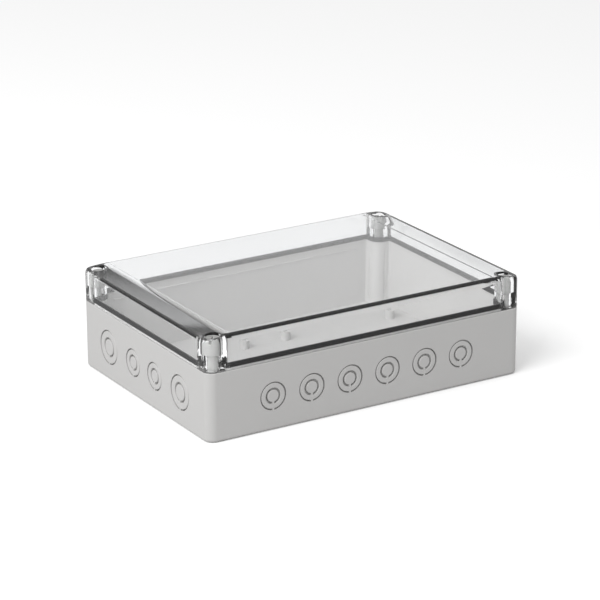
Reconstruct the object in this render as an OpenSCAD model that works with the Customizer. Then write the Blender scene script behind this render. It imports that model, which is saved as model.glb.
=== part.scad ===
// Hinged polycarbonate enclosure: a grey base with knock-outs under a clear cover that is
// held by four quarter-turn corner screws. The two rear screws are jointed, so that they
// draw out of the base and carry the cover as a hinge.

/* [Overall size] */
// Outside length, along X
box_length = 255; // [200:1:400]
// Outside width, along Y
box_width = 180; // [150:1:300]
// Height of the base up to the joint with the cover
base_height = 50; // [42:1:90]
// Height of the cover above the joint
cover_height = 25; // [22:1:60]
// Radius of the upright outer corners
corner_radius = 7; // [6:0.5:8]
// Radius along the lower outer edge of the base
foot_radius = 2.5; // [1:0.25:3]
// Radius along the upper outer edge of the base
rim_radius = 0.8; // [0.4:0.1:1.2]
// Radius along the lower outer edge of the cover
skirt_radius = 0.2; // [0.1:0.05:0.5]
// Radius along the upper outer edge of the cover
cover_edge = 5; // [1:0.1:5]

/* [Walls] */
// Thickness of the base walls
base_wall = 3.6; // [3.2:0.1:4.5]
// Thickness of the base floor
floor_thickness = 3; // [2:0.1:5]
// Thickness of the cover walls
cover_wall = 3; // [2.5:0.1:4]
// Thickness of the cover top in its middle
cover_top = 2.6; // [2.4:0.1:3.2]
// Width of the sloping strip at each short end of the cover
end_strip = 20; // [15:1:30]
// How far the sloping strips fall on the outside
end_fall = 2.4; // [1:0.1:2.6]
// Depth of the level ceiling under the sloping strips, below the flat top
strip_depth = 3.4; // [3.3:0.1:4]
// Radius of the inner corners of the cover against the screw towers
cavity_blend = 1; // [0.5:0.1:2]
// Thickness of the screw towers round the heads
tower_wall = 1.6; // [1.4:0.1:2.5]

/* [Seal] */
// Width of the gasket
gasket_width = 2.8; // [2:0.1:3]
// Height of the gasket
gasket_height = 3.1; // [2.5:0.1:4]
// Thickness of the cover skirt outside the gasket
skirt_wall = 1.4; // [1.2:0.1:1.6]
// Height of the sealing rib on the base
rib_height = 1.7; // [1:0.1:2]
// Gap between the cover skirt and the sealing rib
rib_gap = 0.5; // [0.4:0.1:0.7]
// Thickness of the cover foot between each shank and the gasket
foot_wall = 1.5; // [1.2:0.1:2]
// Radius of the gasket's centre line where it turns from a wall towards a screw
seal_blend = 2.4; // [2:0.1:3]

/* [Corner screws] */
// Distance of each screw axis from both outer faces
screw_inset = 9; // [8.5:0.1:10]
// Diameter of the screw head
head_diameter = 10.4; // [9:0.1:10.8]
// Height of the screw head
head_height = 10.4; // [8:0.1:14]
// Depth of the head below the flat top of the cover
head_depth = 3.4; // [3:0.1:5]
// Diameter of the screw shank
shank_diameter = 6.4; // [5:0.1:6.4]
// Gap round the head in the cover
head_gap = 0.3; // [0.2:0.05:0.5]
// Gap round the shank in the cover
shank_gap = 0.3; // [0.2:0.05:0.5]
// Gap round the shank in the base, which lets it lean as the cover starts to swing
mouth_gap = 0.6; // [0.55:0.05:0.8]
// Width of the driver slot
slot_width = 1.6; // [1:0.1:2.5]
// Depth of the driver slot
slot_depth = 2.2; // [1:0.1:3.5]
// Turn of the driver slot away from the X axis, towards the middle of the box
slot_turn = 45; // [0:5:90]
// Width of the bevel round the top of the head
head_bevel = 0.5; // [0.2:0.1:0.8]

/* [Quarter-turn lock] */
// Length of the screw below the joint
tip_depth = 16; // [14:0.5:24]
// Height of the two lugs at the tip
lug_height = 3; // [2:0.1:4]
// Width of the two lugs
lug_width = 2.4; // [2:0.1:3]
// Radius to the ends of the lugs
lug_reach = 4.8; // [4.5:0.1:5]
// Gap round the lugs
lug_gap = 0.6; // [0.5:0.05:0.8]
// Gap above the lugs under the shoulder of the lock
lock_gap = 1; // [0.6:0.1:1.5]
// Thickness of the plate below the lock chamber, above the floor
chamber_plate = 1; // [0.5:0.1:2]

/* [Hinge] */
// Depth of the hinge pin axis below the joint
knuckle_depth = 4.5; // [4:0.1:5]
// How far the hinge links draw out of the base
link_travel = 20; // [19:0.5:22]
// Diameter of the hinge pin
pin_diameter = 2.4; // [2:0.1:2.6]
// Gap between the pin and the eye of the stem
pin_gap = 0.05; // [0.03:0.01:0.08]
// Thickness of the stem's eye
eye_thickness = 2.4; // [2:0.1:2.6]
// Gap on each side of the eye in the fork
fork_gap = 0.15; // [0.1:0.05:0.2]
// Height of the stop collar on the link
collar_height = 6; // [4:0.5:8]
// Gap between a rear screw head and the neck of its stem
neck_gap = 0.05; // [0.03:0.01:0.08]
// Radius of the neck of the stem
neck_radius = 2.2; // [2:0.1:2.4]
// Height of the snap bead on the neck
bead_height = 1.4; // [1:0.1:1.6]
// How far the snap bead stands out from the neck
bead_reach = 0.4; // [0.2:0.05:0.5]
// Thickness of the head between the neck and the driver slot
neck_cover = 1.2; // [1:0.1:1.6]
// How much slimmer the link is than the screw shank, in radius
link_slack = 0.1; // [0.05:0.05:0.2]
// How much slimmer the eye is than the link, in radius
eye_slack = 0.2; // [0.1:0.05:0.3]
// Gap between the link and the shoulder of the stem
shoulder_gap = 0.3; // [0.2:0.05:0.5]
// Gap between the stop collar and the wall of its chamber
collar_gap = 0.3; // [0.2:0.05:0.5]
// Gap left above the stop collar when the link is drawn fully out
stop_gap = 0.2; // [0.1:0.05:0.4]
// Room below the eye, which leans under the pin when the cover stands fully open
fork_relief = 0.8; // [0.6:0.1:1.2]

/* [Knock-outs] */
// Number of knock-outs in each long side
long_knockouts = 6; // [2:1:6]
// Spacing of the knock-outs in the long sides
long_pitch = 30.7; // [28:0.1:34]
// Spacing of the two middle knock-outs in the short sides
short_pitch = 31; // [28:0.5:34]
// Spacing of the two outer knock-outs in the short sides
short_outer_pitch = 102.5; // [96:0.5:110]
// Diameter of the smaller knock-outs, which take a 20 mm gland
small_knockout = 20.5; // [18:0.5:22]
// Diameter of the larger knock-outs, which take a 25 mm gland
large_knockout = 25.5; // [23:0.5:27]
// Share of the inner ring in the outer ring
inner_share = 0.56; // [0.5:0.01:0.65]
// Height of the knock-out centres above the underside
knockout_height = 24.8; // [18:0.1:28]
// Skin left behind the ring grooves
knockout_skin = 1; // [0.8:0.1:1.5]
// Radius of the round shoulders of the rings and discs
knockout_round = 0.7; // [0.3:0.1:1]
// Width of the outer ring groove
outer_groove = 0.9; // [0.6:0.1:1.4]
// Width of the inner ring groove
inner_groove = 1.3; // [0.8:0.1:1.8]
// Width of the bridge that holds each ring at its lowest point
bridge_width = 1.4; // [1:0.1:2.5]

/* [Inside] */
// How far the ledge inside each long wall stands out
ledge_reach = 0.6; // [0.4:0.1:1]
// Height of the ledge
ledge_height = 1; // [0.6:0.1:2]
// Depth of the ledge below the joint
ledge_depth = 4; // [3:0.5:8]
// Length of the ledge
ledge_length = 204; // [120:1:210]
// Radius of the flutes in the flanks of the corner columns
flute_radius = 1; // [0.6:0.1:1.4]
// Offset of each flute from the screw axis along the flank
flute_offset = 1.2; // [0:0.1:2]
// How deep each flute cuts beside its own axis
flute_bite = 0.2; // [0:0.05:0.4]
// Height of the flutes above the floor
flute_start = 4; // [2:0.5:8]
// Distance of the flutes below the top of the base
flute_stop = 6; // [4:0.5:10]
// Spacing along X of the four outer bosses
outer_boss_x = 215; // [150:1:216]
// Spacing along Y of the four outer bosses
outer_boss_y = 98; // [70:1:110]
// Spacing along X of the four middle bosses
middle_boss_x = 35; // [25:1:60]
// Spacing along Y of the four middle bosses
middle_boss_y = 102; // [80:1:110]
// Diameter of the bosses
boss_diameter = 7; // [6:0.1:9]
// Height of the bosses above the floor
boss_height = 6.5; // [4:0.1:10]
// Diameter of the screw holes in the bosses
boss_hole = 3; // [2:0.1:3.5]
// Diameter of the wall fixing holes under the corner columns
wall_hole = 4.6; // [3:0.1:5]

/* [Hidden] */
$fn = 64;

SHELL_GREY = [0.80, 0.80, 0.79];
SCREW_GREY = [0.76, 0.76, 0.73];
LINK_GREY = [0.70, 0.70, 0.68];
CLEAR = [0.86, 0.88, 0.90, 0.35];
BLACK = [0.08, 0.08, 0.08];

overlap = 0.5;
full_height = base_height + cover_height;
screw_x = box_length / 2 - screw_inset;
screw_y = box_width / 2 - screw_inset;

// The seal follows the walls, and passes each screw on the inner side.
seal_inset = skirt_wall + gasket_width / 2;
shank_r = shank_diameter / 2;
head_r = head_diameter / 2;
foot_reach = shank_r + shank_gap + foot_wall;
seal_reach = foot_reach + gasket_width / 2;
rib_inner = base_wall - seal_inset;
rib_outer = seal_inset - skirt_wall - rib_gap;
tower_reach = head_r + head_gap + tower_wall;
ceiling_z = full_height - cover_top;
strip_ceiling_z = full_height - strip_depth;
gasket_z = base_height + rib_height;
rebate_z = gasket_z + gasket_height;

head_z = full_height - head_depth - head_height;
head_top_z = head_z + head_height;
mouth_r = shank_r + mouth_gap;
lock_z = base_height - tip_depth + lug_height + lock_gap;
chamber_r = lug_reach + lug_gap;
chamber_floor = floor_thickness + chamber_plate;

knuckle_z = base_height - knuckle_depth;
knuckle_r = shank_r - link_slack;
eye_r = knuckle_r - eye_slack;
collar_top_z = lock_z - link_travel - stop_gap;
collar_r = chamber_r - collar_gap;
neck_top_z = head_top_z - slot_depth - neck_cover;

// Moves its child to one corner screw and mirrors it to suit: x and y are -1 or 1, and the
// child is drawn for the corner at +X +Y.
module at_corner(x, y) {
    mirror([x < 0 ? 1 : 0, 0, 0])
        mirror([0, y < 0 ? 1 : 0, 0])
            translate([screw_x, screw_y, 0])
                children();
}

module at_all_corners() {
    for (x = [-1, 1], y = [-1, 1])
        at_corner(x, y)
            children();
}

// Half of an upright section: a strip from the middle out to reach, its outer corners round.
module side_section(reach, height, low_r, high_r) {
    square([reach - low_r, height / 2]);
    translate([0, low_r])
        square([reach, height - low_r - high_r]);
    translate([0, height / 2])
        square([reach - high_r, height / 2]);
    translate([reach - low_r, low_r])
        circle(low_r);
    translate([reach - high_r, height - high_r])
        circle(high_r);
}

module full_section(reach, height, low_r, high_r) {
    side_section(reach, height, low_r, high_r);
    mirror([1, 0])
        side_section(reach, height, low_r, high_r);
}

// The outside of a shell: round upright corners and round edges above and below.
module shell_block(height, low_r, high_r) {
    run_x = box_length - 2 * corner_radius;
    run_y = box_width - 2 * corner_radius;
    for (x = [-1, 1], y = [-1, 1])
        translate([x * run_x / 2, y * run_y / 2, 0])
            rotate_extrude()
                intersection() {
                    side_section(corner_radius, height, low_r, high_r);
                    square([corner_radius, height]);
                }
    rotate([90, 0, 90])
        linear_extrude(run_x, center = true)
            full_section(box_width / 2, height, low_r, high_r);
    rotate([90, 0, 0])
        linear_extrude(run_y, center = true)
            full_section(box_length / 2, height, low_r, high_r);
}

// Plan of the block that surrounds a corner screw, seen from the screw axis: a square towards
// the outer corner with its inner corner round, and a fillet where it meets each wall.
module corner_block(inset, reach, blend) {
    wall_line = screw_inset - inset;
    circle(reach);
    translate([-reach, 0])
        square([reach + screw_inset, screw_inset]);
    translate([0, -reach])
        square([screw_inset, reach + screw_inset]);
    for (turn = [0, 1])
        mirror([turn, -turn])
            translate([-reach - blend, wall_line - blend])
                difference() {
                    square(blend + overlap);
                    circle(blend);
                }
}

// Plan of the space inside the walls and the four corner blocks.
module inner_plan(inset, reach, blend) {
    difference() {
        square([box_length - 2 * inset, box_width - 2 * inset], center = true);
        at_all_corners()
            corner_block(inset, reach, blend);
    }
}

// Plan of the seal line, moved in or out by shift.
module seal_plan(shift) {
    inner_plan(seal_inset + shift, seal_reach + shift, seal_blend - shift);
}

module seal_ring(out, in) {
    difference() {
        seal_plan(-out);
        seal_plan(in);
    }
}

// Two concentric ring grooves, each broken by a bridge at its lowest point, sunk from z = 0
// down into the wall. The ring between them and the disc inside have round shoulders.
module knockout(diameter) {
    outer_r = diameter / 2;
    inner_r = outer_r * inner_share;
    depth = base_wall - knockout_skin;
    difference() {
        rotate_extrude() {
            groove_section(outer_r, outer_groove, depth);
            groove_section(inner_r, inner_groove, depth);
            translate([inner_r, 0])
                shoulder_section();
        }
        translate([-bridge_width / 2, -diameter, -depth - overlap])
            cube([bridge_width, diameter, depth + 2 * overlap]);
    }
}

// Section of one groove with a round shoulder on its inner side.
module groove_section(outer_r, width, depth) {
    translate([outer_r - width, -depth])
        square([width, depth + overlap]);
    translate([outer_r - width, 0])
        mirror([1, 0])
            shoulder_section();
}

// What a round shoulder takes off the edge at the origin; the material lies towards +X.
module shoulder_section() {
    difference() {
        translate([-overlap, -knockout_round])
            square(knockout_round + overlap);
        translate([knockout_round, -knockout_round])
            circle(knockout_round);
    }
}

module long_side_knockouts() {
    for (side = [0, 1], i = [0 : long_knockouts - 1])
        rotate([0, 0, 180 * side])
            translate([(i - (long_knockouts - 1) / 2) * long_pitch, -box_width / 2, knockout_height])
                rotate([90, 0, 0])
                    knockout(small_knockout);
}

module short_side_knockouts() {
    for (side = [0, 1], place = [-1, 1])
        rotate([0, 0, 180 * side])
            translate([box_length / 2, 0, knockout_height])
                rotate([90, 0, 90]) {
                    translate([place * short_pitch / 2, 0])
                        knockout(small_knockout);
                    translate([place * short_outer_pitch / 2, 0])
                        knockout(large_knockout);
                }
}

module boss_places(x, y) {
    for (i = [-1, 1], j = [-1, 1])
        translate([i * x / 2, j * y / 2, 0])
            children();
}

// The column that holds a corner screw has a flute on each flank.
module column_flutes() {
    start_z = floor_thickness + flute_start;
    for (turn = [0, 1])
        mirror([turn, -turn, 0])
            translate([-seal_reach - rib_inner - flute_bite, flute_offset, start_z])
                cylinder(r = flute_radius, h = base_height - flute_stop - start_z);
}

// A narrow ledge along the inside of each long wall.
module wall_ledges() {
    for (side = [-1, 1])
        translate([-ledge_length / 2, side * (box_width / 2 - base_wall) - ledge_reach,
                base_height - ledge_depth - ledge_height])
            cube([ledge_length, 2 * ledge_reach, ledge_height]);
}

// Bore of a front corner: two keyways let the lugs down into a chamber, where they turn
// under the shoulder.
module lock_bore() {
    translate([0, 0, lock_z - overlap])
        cylinder(r = mouth_r, h = base_height - lock_z + 2 * overlap);
    translate([0, 0, chamber_floor])
        cylinder(r = chamber_r, h = lock_z - chamber_floor);
    intersection() {
        translate([0, 0, lock_z - overlap])
            cylinder(r = chamber_r, h = base_height - lock_z + 2 * overlap);
        rotate([0, 0, slot_turn])
            translate([-chamber_r, -lug_width / 2 - lug_gap, lock_z - overlap])
                cube([2 * chamber_r, lug_width + 2 * lug_gap, base_height - lock_z + 2 * overlap]);
    }
}

// Bore of a rear corner: the neck guides the hinge link, and its lower end stops the collar.
module link_bore() {
    translate([0, 0, lock_z - overlap])
        cylinder(r = mouth_r, h = base_height - lock_z + 2 * overlap);
    translate([0, 0, chamber_floor])
        cylinder(r = chamber_r, h = lock_z - chamber_floor);
}

module base_shell() {
    color(SHELL_GREY)
        difference() {
            union() {
                difference() {
                    shell_block(base_height, foot_radius, rim_radius);
                    translate([0, 0, floor_thickness])
                        linear_extrude(base_height)
                            seal_plan(rib_inner);
                }
                translate([0, 0, base_height - overlap])
                    linear_extrude(rib_height + overlap)
                        seal_ring(rib_outer, rib_inner);
                wall_ledges();
                boss_places(outer_boss_x, outer_boss_y)
                    boss();
                boss_places(middle_boss_x, middle_boss_y)
                    boss();
            }
            long_side_knockouts();
            short_side_knockouts();
            boss_places(outer_boss_x, outer_boss_y)
                boss_pilot();
            boss_places(middle_boss_x, middle_boss_y)
                boss_pilot();
            for (x = [-1, 1]) {
                at_corner(x, -1)
                    lock_bore();
                at_corner(x, 1)
                    link_bore();
            }
            at_all_corners() {
                column_flutes();
                translate([0, 0, -overlap])
                    cylinder(d = wall_hole, h = chamber_floor + 2 * overlap);
            }
        }
}

module boss() {
    translate([0, 0, floor_thickness - overlap])
        cylinder(d = boss_diameter, h = boss_height + overlap);
}

module boss_pilot() {
    translate([0, 0, floor_thickness])
        cylinder(d = boss_hole, h = boss_height + overlap);
}

// What the sloping strips take off the top: a block on each short end that starts at the
// inner edge of the strip and leans outwards.
module end_slopes() {
    for (side = [0, 1])
        mirror([side, 0, 0])
            translate([box_length / 2 - end_strip, 0, full_height])
                rotate([0, atan2(end_fall, end_strip), 0])
                    translate([0, -box_width, 0])
                        cube([2 * end_strip, 2 * box_width, cover_height]);
}

// The space inside the cover: the seat of the gasket, the room under the sloping strips,
// and the higher room between them.
module cover_cavity() {
    translate([0, 0, base_height - overlap])
        linear_extrude(rebate_z - base_height + overlap)
            seal_plan(-gasket_width / 2);
    translate([0, 0, rebate_z - overlap])
        linear_extrude(strip_ceiling_z - rebate_z + overlap)
            inner_plan(cover_wall, tower_reach, cavity_blend);
    translate([0, 0, rebate_z])
        linear_extrude(ceiling_z - rebate_z)
            intersection() {
                inner_plan(cover_wall, tower_reach, cavity_blend);
                square([box_length - 2 * end_strip, box_width], center = true);
            }
}

module cover_shell() {
    color(CLEAR)
        difference() {
            translate([0, 0, base_height])
                shell_block(cover_height, skirt_radius, cover_edge);
            cover_cavity();
            end_slopes();
            at_all_corners() {
                translate([0, 0, base_height - overlap])
                    cylinder(r = shank_r + shank_gap, h = cover_height);
                translate([0, 0, head_z])
                    cylinder(r = head_r + head_gap, h = cover_height);
            }
        }
}

module cover_gasket() {
    color(BLACK)
        translate([0, 0, gasket_z])
            linear_extrude(gasket_height)
                seal_ring(gasket_width / 2, gasket_width / 2);
}

module screw_head() {
    difference() {
        union() {
            translate([0, 0, head_z])
                cylinder(r = head_r, h = head_height - head_bevel);
            translate([0, 0, head_top_z - head_bevel])
                cylinder(r1 = head_r, r2 = head_r - head_bevel, h = head_bevel);
        }
        rotate([0, 0, slot_turn])
            translate([-head_r - overlap, -slot_width / 2, head_top_z - slot_depth])
                cube([2 * head_r + 2 * overlap, slot_width, slot_depth + overlap]);
    }
}

// A front screw is one piece: head, shank and two lugs at the tip.
module lock_screw() {
    tip_z = base_height - tip_depth;
    color(SCREW_GREY) {
        screw_head();
        translate([0, 0, tip_z])
            cylinder(r = shank_r, h = head_z - tip_z + overlap);
        rotate([0, 0, slot_turn])
            intersection() {
                translate([0, 0, tip_z])
                    cylinder(r = lug_reach, h = lug_height);
                translate([-lug_reach, -lug_width / 2, tip_z])
                    cube([2 * lug_reach, lug_width, lug_height]);
            }
    }
}

// The bead on the neck snaps into a groove in the head and lets the head turn.
module neck_profile(gap) {
    neck_height = neck_top_z - head_z;
    translate([0, head_z - overlap])
        square([neck_radius + gap, neck_height + overlap + gap]);
    translate([0, head_z + neck_height / 2 - gap])
        square([neck_radius + bead_reach + gap, bead_height + 2 * gap]);
}

module rear_screw_head() {
    color(SCREW_GREY)
        difference() {
            screw_head();
            rotate_extrude()
                neck_profile(neck_gap);
        }
}

// The stem hangs in the cover on its neck and ends in the eye of the hinge.
module hinge_stem() {
    shoulder_z = knuckle_z + knuckle_r + shoulder_gap;
    color(LINK_GREY)
        difference() {
            union() {
                rotate_extrude()
                    neck_profile(0);
                translate([0, 0, shoulder_z])
                    cylinder(r = shank_r, h = head_z - shoulder_z);
                translate([-eye_thickness / 2, 0, knuckle_z])
                    rotate([0, 90, 0])
                        cylinder(r = eye_r, h = eye_thickness);
                translate([-eye_thickness / 2, -eye_r, knuckle_z])
                    cube([eye_thickness, 2 * eye_r, shoulder_z - knuckle_z + overlap]);
            }
            translate([-eye_thickness, 0, knuckle_z])
                rotate([0, 90, 0])
                    cylinder(r = pin_diameter / 2 + pin_gap, h = 2 * eye_thickness);
        }
}

// The pin is as long as the link is wide at the height of the pin's upper edge.
module hinge_pin() {
    length = 2 * sqrt(pow(knuckle_r, 2) - pow(pin_diameter / 2, 2)) - link_slack;
    color(BLACK)
        translate([-length / 2, 0, knuckle_z])
            rotate([0, 90, 0])
                cylinder(d = pin_diameter, h = length);
}

// The link is a rod with a fork round the eye above and a stop collar below.
module hinge_link() {
    fork_width = eye_thickness + 2 * fork_gap;
    collar_z = collar_top_z - collar_height;
    color(LINK_GREY)
        difference() {
            union() {
                translate([0, 0, collar_z])
                    cylinder(r = knuckle_r, h = knuckle_z - collar_z);
                intersection() {
                    translate([0, 0, knuckle_z - overlap])
                        cylinder(r = knuckle_r, h = 2 * knuckle_r);
                    translate([-2 * knuckle_r, 0, knuckle_z])
                        rotate([0, 90, 0])
                            cylinder(r = knuckle_r, h = 4 * knuckle_r);
                }
                translate([0, 0, collar_z])
                    cylinder(r = collar_r, h = collar_height);
            }
            translate([-fork_width / 2, -2 * knuckle_r, knuckle_z - knuckle_r - fork_relief])
                cube([fork_width, 4 * knuckle_r, 4 * knuckle_r]);
            translate([-2 * knuckle_r, 0, knuckle_z])
                rotate([0, 90, 0])
                    cylinder(d = pin_diameter, h = 4 * knuckle_r);
        }
}

base_shell();
cover_shell();
cover_gasket();
at_corner(-1, -1) lock_screw();  // front_left_screw
at_corner(1, -1) lock_screw();  // front_right_screw
at_corner(-1, 1) rear_screw_head();  // rear_left_screw_head
at_corner(1, 1) rear_screw_head();  // rear_right_screw_head
at_corner(-1, 1) hinge_stem();  // rear_left_hinge_stem
at_corner(1, 1) hinge_stem();  // rear_right_hinge_stem
at_corner(-1, 1) hinge_pin();  // left_hinge_pin
at_corner(1, 1) hinge_pin();  // right_hinge_pin
at_corner(-1, 1) hinge_link();  // left_hinge_link
at_corner(1, 1) hinge_link();  // right_hinge_link
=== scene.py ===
"""Looks of a hinged enclosure with a clear cover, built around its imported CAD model."""

import math

import bmesh
import bpy
from mathutils import Matrix, Vector


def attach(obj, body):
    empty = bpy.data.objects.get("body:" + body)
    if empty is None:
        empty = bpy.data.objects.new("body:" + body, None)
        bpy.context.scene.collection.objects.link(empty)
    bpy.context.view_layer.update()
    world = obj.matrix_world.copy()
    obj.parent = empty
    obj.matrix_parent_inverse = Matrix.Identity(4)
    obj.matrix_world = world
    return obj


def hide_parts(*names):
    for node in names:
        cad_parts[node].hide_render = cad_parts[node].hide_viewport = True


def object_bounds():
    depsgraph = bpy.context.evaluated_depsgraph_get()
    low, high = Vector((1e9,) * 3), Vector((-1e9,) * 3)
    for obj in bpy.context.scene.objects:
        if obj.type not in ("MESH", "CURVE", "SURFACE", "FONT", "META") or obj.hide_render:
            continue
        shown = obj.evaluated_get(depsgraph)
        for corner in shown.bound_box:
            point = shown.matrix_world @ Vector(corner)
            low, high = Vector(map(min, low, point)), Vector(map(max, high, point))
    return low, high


bl_info = {
    "name": "Clear cover enclosure",
    "version": (1, 0, 0),
    "blender": (4, 5, 0),
    "location": "3D Viewport > Sidebar > Enclosure",
    "description": "Builds the finished pieces, materials and stage of a hinged enclosure",
    "category": "Object",
}

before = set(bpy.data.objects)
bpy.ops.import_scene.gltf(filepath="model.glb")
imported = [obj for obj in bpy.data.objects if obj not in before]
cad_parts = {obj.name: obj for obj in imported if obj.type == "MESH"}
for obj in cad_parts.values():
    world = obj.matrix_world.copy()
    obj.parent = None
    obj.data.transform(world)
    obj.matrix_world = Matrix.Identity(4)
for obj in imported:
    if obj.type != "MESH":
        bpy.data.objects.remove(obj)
cad_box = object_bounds()

BOX_CENTRE = (cad_box[0] + cad_box[1]) / 2

MERGE_DISTANCE = 0.000002
FLAT_ANGLE = math.radians(0.2)
CREASE_ANGLE = math.radians(32)

BASE_ROUGHNESS = 0.42
GASKET_ROUGHNESS = 0.6
GASKET_MOTTLE = 0.2
GASKET_GRAIN = 0.3
SCREW_ROUGHNESS = 0.4
SCREW_EDGE = 0.00015
LINK_ROUGHNESS = 0.4
LINK_EDGE = 0.00008
COVER_ROUGHNESS = 0.02
COVER_SHADOW = 0.93

MOTTLE_SCALE = 28.0
MOTTLE_DETAIL = 3.0
GRAIN_DETAIL = 2.0
GRAIN_DEPTH = 0.00005

FLOOR_HALF_SIZE = 6.0
FLOOR_TONE = 0.72
FLOOR_WHITE = 1.25
SKY_WHITE = 1.0
LAMP_PLACE = Vector((-1.5, -0.5, 1.3))
LAMP_SIZE = (1.4, 1.0)
SENSOR_WIDTH = 36.0
CLIP_NEAR, CLIP_FAR = 0.05, 20.0


class FinishSettings(bpy.types.PropertyGroup):
    """Colours and fine sizes of the moulded pieces."""

    base_colour: bpy.props.FloatVectorProperty(
        name="Base colour",
        description="Colour of the moulded base",
        subtype="COLOR",
        size=3,
        min=0.0,
        max=1.0,
        default=(0.58, 0.575, 0.568),
    )
    base_edge: bpy.props.FloatProperty(
        name="Base edge",
        description="Width of the soft edge where two faces of the base meet",
        subtype="DISTANCE",
        unit="LENGTH",
        default=0.00012,
        min=0.0,
        max=0.001,
    )
    cover_tint: bpy.props.FloatVectorProperty(
        name="Cover tint",
        description="Colour that the clear cover gives to light",
        subtype="COLOR",
        size=3,
        min=0.0,
        max=1.0,
        default=(0.965, 0.97, 0.975),
    )
    cover_index: bpy.props.FloatProperty(
        name="Cover index",
        description="Refractive index of the clear plastic",
        default=1.585,
        min=1.0,
        max=2.0,
    )
    gasket_colour: bpy.props.FloatVectorProperty(
        name="Gasket colour",
        description="Colour of the rubber seal",
        subtype="COLOR",
        size=3,
        min=0.0,
        max=1.0,
        default=(0.018, 0.018, 0.019),
    )
    screw_colour: bpy.props.FloatVectorProperty(
        name="Screw colour",
        description="Colour of the moulded corner screws",
        subtype="COLOR",
        size=3,
        min=0.0,
        max=1.0,
        default=(0.42, 0.42, 0.41),
    )
    link_colour: bpy.props.FloatVectorProperty(
        name="Link colour",
        description="Colour of the hinge links, pins and stems",
        subtype="COLOR",
        size=3,
        min=0.0,
        max=1.0,
        default=(0.36, 0.36, 0.355),
    )


class StageSettings(bpy.types.PropertyGroup):
    """Camera, key lamp and sky."""

    camera_place: bpy.props.FloatVectorProperty(
        name="Camera place",
        description="Where the camera stands",
        subtype="TRANSLATION",
        unit="LENGTH",
        size=3,
        default=(-0.9767, -1.5955, 0.7177),
    )
    camera_azimuth: bpy.props.FloatProperty(
        name="Camera azimuth",
        description="Direction the camera is seen from, with 0 at the front",
        subtype="ANGLE",
        unit="ROTATION",
        default=math.radians(-31.46),
    )
    camera_elevation: bpy.props.FloatProperty(
        name="Camera elevation",
        description="Height of the camera above the horizon",
        subtype="ANGLE",
        unit="ROTATION",
        default=math.radians(19.59),
    )
    camera_roll: bpy.props.FloatProperty(
        name="Camera roll",
        description="Turn of the camera about its view",
        subtype="ANGLE",
        unit="ROTATION",
        default=math.radians(-0.12),
    )
    camera_lens: bpy.props.FloatProperty(
        name="Camera lens",
        description="Focal length on a 36 mm sensor, in millimetres",
        default=167.6,
        min=1.0,
        max=1000.0,
    )
    key_power: bpy.props.FloatProperty(
        name="Key power",
        description="Power of the large lamp on the left",
        subtype="POWER",
        unit="POWER",
        default=22.0,
        min=0.0,
        max=1000.0,
    )
    sky_strength: bpy.props.FloatProperty(
        name="Sky strength",
        description="Strength of the even light from all round",
        default=0.62,
        min=0.0,
        max=10.0,
    )


def merged_copy(node):
    """A bmesh of a CAD node with its loose triangles joined."""
    shell = bmesh.new()
    shell.from_mesh(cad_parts[node].data)
    bmesh.ops.remove_doubles(shell, verts=shell.verts, dist=MERGE_DISTANCE)
    return shell


def soften_edges(shell, width, segments=2):
    """Rounds every crease of the shell by a small width."""
    bmesh.ops.dissolve_limit(
        shell, angle_limit=FLAT_ANGLE, verts=shell.verts, edges=shell.edges
    )
    creases = [
        e
        for e in shell.edges
        if e.is_manifold and e.calc_face_angle(0.0) > CREASE_ANGLE
    ]
    bmesh.ops.bevel(
        shell,
        geom=creases,
        offset=width,
        offset_type="OFFSET",
        affect="EDGES",
        segments=segments,
        profile=0.5,
        material=-1,
        clamp_overlap=True,
    )


def finished_piece(name, shell, material, body, nodes=()):
    """Makes the shell an object, shades it smoothly, and hangs it on its body."""
    for f in shell.faces:
        f.smooth = True
    for e in shell.edges:
        e.smooth = not (e.is_manifold and e.calc_face_angle(0.0) > CREASE_ANGLE)
    mesh = bpy.data.meshes.new(name)
    shell.to_mesh(mesh)
    shell.free()
    piece = bpy.data.objects.new(name, mesh)
    bpy.context.scene.collection.objects.link(piece)
    mesh.materials.append(material)
    weights = piece.modifiers.new("even_normals", "WEIGHTED_NORMAL")
    weights.mode = "FACE_AREA"
    weights.keep_sharp = True
    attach(piece, body)
    if nodes:
        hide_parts(*nodes)
    return piece


def new_material(name):
    """A node material holding one Principled shader, with that shader and the output."""
    material = bpy.data.materials.new(name)
    material.use_nodes = True
    tree = material.node_tree
    tree.nodes.clear()
    shader = tree.nodes.new("ShaderNodeBsdfPrincipled")
    output = tree.nodes.new("ShaderNodeOutputMaterial")
    tree.links.new(shader.outputs["BSDF"], output.inputs["Surface"])
    return material, tree, shader, output


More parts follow.
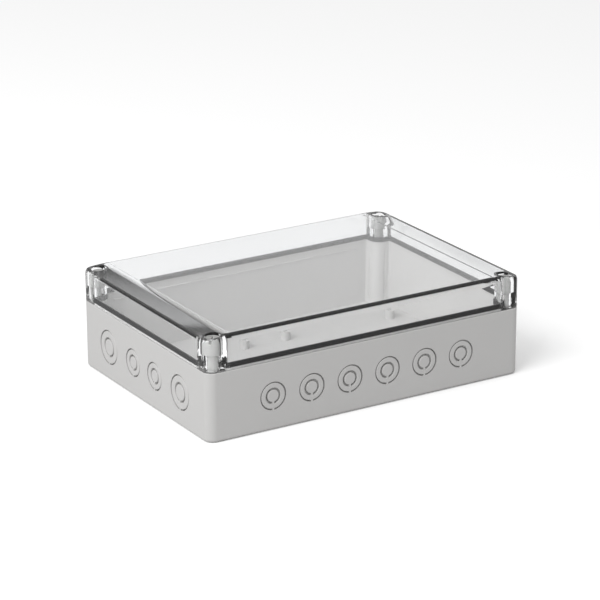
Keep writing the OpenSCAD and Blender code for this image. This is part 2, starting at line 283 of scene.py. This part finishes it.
def moulded_grain_group():
    """Node group: the faint mottling, gloss change and fine grain of moulded plastic."""
    group = bpy.data.node_groups.get("moulded_grain")
    if group:
        return group
    group = bpy.data.node_groups.new("moulded_grain", "ShaderNodeTree")
    face = group.interface
    face.new_socket("Colour", in_out="INPUT", socket_type="NodeSocketColor")
    for label, value in (
        ("Mottle", 0.04),
        ("Roughness", 0.45),
        ("Gloss change", 0.06),
        ("Grain scale", 2500.0),
        ("Grain height", 0.15),
    ):
        socket = face.new_socket(label, in_out="INPUT", socket_type="NodeSocketFloat")
        socket.default_value = value
    face.new_socket("Colour", in_out="OUTPUT", socket_type="NodeSocketColor")
    face.new_socket("Roughness", in_out="OUTPUT", socket_type="NodeSocketFloat")
    face.new_socket("Normal", in_out="OUTPUT", socket_type="NodeSocketVector")
    nodes, links = group.nodes, group.links
    given = nodes.new("NodeGroupInput")
    result = nodes.new("NodeGroupOutput")
    place = nodes.new("ShaderNodeTexCoord")
    broad = nodes.new("ShaderNodeTexNoise")
    broad.inputs["Scale"].default_value = MOTTLE_SCALE
    broad.inputs["Detail"].default_value = MOTTLE_DETAIL
    links.new(place.outputs["Object"], broad.inputs["Vector"])
    fine = nodes.new("ShaderNodeTexNoise")
    fine.inputs["Detail"].default_value = GRAIN_DETAIL
    links.new(place.outputs["Object"], fine.inputs["Vector"])
    links.new(given.outputs["Grain scale"], fine.inputs["Scale"])
    centred = nodes.new("ShaderNodeMath")
    centred.operation = "SUBTRACT"
    centred.inputs[1].default_value = 0.5
    links.new(broad.outputs["Fac"], centred.inputs[0])
    shift = nodes.new("ShaderNodeMath")
    shift.operation = "MULTIPLY"
    links.new(centred.outputs[0], shift.inputs[0])
    links.new(given.outputs["Mottle"], shift.inputs[1])
    level = nodes.new("ShaderNodeMath")
    level.operation = "ADD"
    level.inputs[1].default_value = 1.0
    links.new(shift.outputs[0], level.inputs[0])
    tone = nodes.new("ShaderNodeVectorMath")
    tone.operation = "SCALE"
    links.new(given.outputs["Colour"], tone.inputs[0])
    links.new(level.outputs[0], tone.inputs["Scale"])
    links.new(tone.outputs["Vector"], result.inputs["Colour"])
    gloss = nodes.new("ShaderNodeMath")
    gloss.operation = "MULTIPLY_ADD"
    links.new(centred.outputs[0], gloss.inputs[0])
    links.new(given.outputs["Gloss change"], gloss.inputs[1])
    links.new(given.outputs["Roughness"], gloss.inputs[2])
    links.new(gloss.outputs[0], result.inputs["Roughness"])
    bump = nodes.new("ShaderNodeBump")
    bump.inputs["Distance"].default_value = GRAIN_DEPTH
    links.new(given.outputs["Grain height"], bump.inputs["Strength"])
    links.new(fine.outputs["Fac"], bump.inputs["Height"])
    links.new(bump.outputs["Normal"], result.inputs["Normal"])
    return group


def moulded_plastic(name, colour, roughness, mottle=0.04, grain=0.15, scale=2500.0):
    """An opaque moulded plastic with the grain group's variation."""
    material, tree, shader, _ = new_material(name)
    grain_node = tree.nodes.new("ShaderNodeGroup")
    grain_node.node_tree = moulded_grain_group()
    grain_node.inputs["Colour"].default_value = (*colour, 1.0)
    grain_node.inputs["Mottle"].default_value = mottle
    grain_node.inputs["Roughness"].default_value = roughness
    grain_node.inputs["Grain scale"].default_value = scale
    grain_node.inputs["Grain height"].default_value = grain
    tree.links.new(grain_node.outputs["Colour"], shader.inputs["Base Color"])
    tree.links.new(grain_node.outputs["Roughness"], shader.inputs["Roughness"])
    tree.links.new(grain_node.outputs["Normal"], shader.inputs["Normal"])
    return material


def clear_plastic(name, tint, index):
    """Clear polycarbonate that lets lamps through."""
    material, tree, shader, output = new_material(name)
    shader.inputs["Base Color"].default_value = (*tint, 1.0)
    shader.inputs["Transmission Weight"].default_value = 1.0
    shader.inputs["IOR"].default_value = index
    shader.inputs["Roughness"].default_value = COVER_ROUGHNESS
    path = tree.nodes.new("ShaderNodeLightPath")
    through = tree.nodes.new("ShaderNodeBsdfTransparent")
    through.inputs["Color"].default_value = (*[COVER_SHADOW] * 3, 1.0)
    mix = tree.nodes.new("ShaderNodeMixShader")
    tree.links.new(path.outputs["Is Shadow Ray"], mix.inputs["Fac"])
    tree.links.new(shader.outputs["BSDF"], mix.inputs[1])
    tree.links.new(through.outputs["BSDF"], mix.inputs[2])
    tree.links.new(mix.outputs["Shader"], output.inputs["Surface"])
    return material


def white_background(tree):
    """The socket that is 1 where the white background itself is seen."""
    path = tree.nodes.new("ShaderNodeLightPath")
    seen = tree.nodes.new("ShaderNodeMath")
    seen.operation = "MAXIMUM"
    tree.links.new(path.outputs["Is Camera Ray"], seen.inputs[0])
    tree.links.new(path.outputs["Is Transmission Ray"], seen.inputs[1])
    return seen.outputs[0]


class ENCLOSURE_OT_base_shell(bpy.types.Operator):
    """Build the light grey base with its softened edges"""

    bl_idname = "enclosure.base_shell"
    bl_label = "Base shell"

    def execute(self, context):
        finish = context.scene.enclosure_finish
        shell = merged_copy("base_shell")
        soften_edges(shell, finish.base_edge)
        material = moulded_plastic("base_plastic", finish.base_colour, BASE_ROUGHNESS)
        finished_piece(
            "base_shell_moulding", shell, material, "base", ["base_shell"]
        )
        return {"FINISHED"}


class ENCLOSURE_OT_cover_shell(bpy.types.Operator):
    """Build the clear cover"""

    bl_idname = "enclosure.cover_shell"
    bl_label = "Clear cover"

    def execute(self, context):
        finish = context.scene.enclosure_finish
        shell = merged_copy("cover_shell")
        material = clear_plastic("clear_cover", finish.cover_tint, finish.cover_index)
        finished_piece(
            "clear_cover_moulding", shell, material, "cover", ["cover_shell"]
        )
        return {"FINISHED"}


class ENCLOSURE_OT_gasket(bpy.types.Operator):
    """Build the black seal under the cover's rim"""

    bl_idname = "enclosure.gasket"
    bl_label = "Gasket"

    def execute(self, context):
        finish = context.scene.enclosure_finish
        shell = merged_copy("cover_gasket")
        material = moulded_plastic(
            "gasket_rubber",
            finish.gasket_colour,
            GASKET_ROUGHNESS,
            mottle=GASKET_MOTTLE,
            grain=GASKET_GRAIN,
        )
        finished_piece(
            "gasket_seal", shell, material, "cover", ["cover_gasket"]
        )
        return {"FINISHED"}


SCREW_PIECES = (
    "front_left_screw",
    "front_right_screw",
    "rear_left_screw_head",
    "rear_right_screw_head",
)
LINK_PIECES = (
    ("rear_left_hinge_stem", "cover"),
    ("rear_right_hinge_stem", "cover"),
    ("left_hinge_pin", "hinge_links"),
    ("right_hinge_pin", "hinge_links"),
    ("left_hinge_link", "hinge_links"),
    ("right_hinge_link", "hinge_links"),
)


class ENCLOSURE_OT_corner_screws(bpy.types.Operator):
    """Build the four slotted corner screws"""

    bl_idname = "enclosure.corner_screws"
    bl_label = "Corner screws"

    def execute(self, context):
        finish = context.scene.enclosure_finish
        material = moulded_plastic("screw_plastic", finish.screw_colour, SCREW_ROUGHNESS)
        for node in SCREW_PIECES:
            shell = merged_copy(node)
            soften_edges(shell, SCREW_EDGE)
            finished_piece(
                node + "_moulding", shell, material, node, [node]
            )
        return {"FINISHED"}


class ENCLOSURE_OT_hinge_parts(bpy.types.Operator):
    """Build the stems, pins and sliding links of the two rear hinges"""

    bl_idname = "enclosure.hinge_parts"
    bl_label = "Hinge parts"

    def execute(self, context):
        finish = context.scene.enclosure_finish
        material = moulded_plastic("link_plastic", finish.link_colour, LINK_ROUGHNESS)
        for node, body in LINK_PIECES:
            shell = merged_copy(node)
            soften_edges(shell, LINK_EDGE)
            finished_piece(
                node + "_moulding", shell, material, body, [node]
            )
        return {"FINISHED"}


class ENCLOSURE_OT_stage(bpy.types.Operator):
    """Set up the floor, lamps, sky and camera"""

    bl_idname = "enclosure.stage"
    bl_label = "Stage"

    def execute(self, context):
        scene = context.scene
        stage = scene.enclosure_stage
        scene.view_settings.view_transform = "Standard"
        self.make_floor()
        self.make_sky(scene, stage)
        self.make_lamp(scene, stage)
        self.make_camera(scene, stage)
        return {"FINISHED"}

    def make_floor(self):
        sheet = bmesh.new()
        bmesh.ops.create_grid(sheet, x_segments=1, y_segments=1, size=FLOOR_HALF_SIZE)
        mesh = bpy.data.meshes.new("floor")
        sheet.to_mesh(mesh)
        sheet.free()
        floor = bpy.data.objects.new("floor", mesh)
        floor.location = (0.0, 0.0, cad_box[0].z)
        bpy.context.scene.collection.objects.link(floor)
        material, tree, shader, _ = new_material("floor_paper")
        shader.inputs["Roughness"].default_value = 1.0
        shader.inputs["Specular IOR Level"].default_value = 0.0
        tone = tree.nodes.new("ShaderNodeMix")
        tone.data_type = "RGBA"
        tone.inputs["A"].default_value = (*[FLOOR_TONE] * 3, 1.0)
        tone.inputs["B"].default_value = (*[FLOOR_WHITE] * 3, 1.0)
        tree.links.new(white_background(tree), tone.inputs["Factor"])
        tree.links.new(tone.outputs["Result"], shader.inputs["Base Color"])
        mesh.materials.append(material)

    def make_sky(self, scene, stage):
        sky = bpy.data.worlds.new("studio_sky")
        sky.use_nodes = True
        tree = sky.node_tree
        tree.nodes.clear()
        output = tree.nodes.new("ShaderNodeOutputWorld")
        light = tree.nodes.new("ShaderNodeBackground")
        light.inputs["Color"].default_value = (1.0, 1.0, 1.0, 1.0)
        light.inputs["Strength"].default_value = stage.sky_strength
        white = tree.nodes.new("ShaderNodeBackground")
        white.inputs["Color"].default_value = (1.0, 1.0, 1.0, 1.0)
        white.inputs["Strength"].default_value = SKY_WHITE
        mix = tree.nodes.new("ShaderNodeMixShader")
        tree.links.new(white_background(tree), mix.inputs["Fac"])
        tree.links.new(light.outputs["Background"], mix.inputs[1])
        tree.links.new(white.outputs["Background"], mix.inputs[2])
        tree.links.new(mix.outputs["Shader"], output.inputs["Surface"])
        scene.world = sky

    def make_lamp(self, scene, stage):
        data = bpy.data.lights.new("key_lamp", "AREA")
        data.shape = "RECTANGLE"
        data.size, data.size_y = LAMP_SIZE
        data.energy = stage.key_power
        lamp = bpy.data.objects.new("key_lamp", data)
        lamp.location = LAMP_PLACE
        aim = Vector(BOX_CENTRE) - LAMP_PLACE
        lamp.rotation_mode = "QUATERNION"
        lamp.rotation_quaternion = aim.to_track_quat("-Z", "Y")
        scene.collection.objects.link(lamp)

    def make_camera(self, scene, stage):
        data = bpy.data.cameras.new("camera")
        data.sensor_width = SENSOR_WIDTH
        data.lens = stage.camera_lens
        data.clip_start, data.clip_end = CLIP_NEAR, CLIP_FAR
        camera = bpy.data.objects.new("camera", data)
        a, e = stage.camera_azimuth, stage.camera_elevation
        back = Vector((math.sin(a) * math.cos(e), -math.cos(a) * math.cos(e), math.sin(e)))
        turn = (-back).to_track_quat("-Z", "Y").to_matrix()
        roll = Matrix.Rotation(stage.camera_roll, 3, "Z")
        camera.rotation_mode = "QUATERNION"
        camera.rotation_quaternion = (turn @ roll).to_quaternion()
        camera.location = stage.camera_place
        scene.collection.objects.link(camera)
        scene.camera = camera


class ENCLOSURE_PT_panel(bpy.types.Panel):
    """Lists the enclosure's settings and its building steps"""

    bl_idname = "ENCLOSURE_PT_panel"
    bl_label = "Enclosure"
    bl_space_type = "VIEW_3D"
    bl_region_type = "UI"
    bl_category = "Enclosure"

    def draw(self, context):
        layout = self.layout
        for group in (context.scene.enclosure_finish, context.scene.enclosure_stage):
            column = layout.column()
            for name in group.__annotations__:
                column.prop(group, name)
        column = layout.column()
        for step in STEPS:
            column.operator(step.bl_idname)


STEPS = (
    ENCLOSURE_OT_stage,
    ENCLOSURE_OT_base_shell,
    ENCLOSURE_OT_cover_shell,
    ENCLOSURE_OT_gasket,
    ENCLOSURE_OT_corner_screws,
    ENCLOSURE_OT_hinge_parts,
)
CLASSES = (FinishSettings, StageSettings, *STEPS, ENCLOSURE_PT_panel)


def register():
    """Registers the classes and hangs the settings on the scene."""
    for made in CLASSES:
        bpy.utils.register_class(made)
    bpy.types.Scene.enclosure_finish = bpy.props.PointerProperty(type=FinishSettings)
    bpy.types.Scene.enclosure_stage = bpy.props.PointerProperty(type=StageSettings)


def unregister():
    """Takes the settings and classes away again."""
    del bpy.types.Scene.enclosure_stage
    del bpy.types.Scene.enclosure_finish
    for made in reversed(CLASSES):
        bpy.utils.unregister_class(made)


def main():
    """Builds every piece in order."""
    register()
    bpy.ops.enclosure.stage()
    bpy.ops.enclosure.base_shell()
    bpy.ops.enclosure.cover_shell()
    bpy.ops.enclosure.gasket()
    bpy.ops.enclosure.corner_screws()
    bpy.ops.enclosure.hinge_parts()


if __name__ == "__main__":
    main()
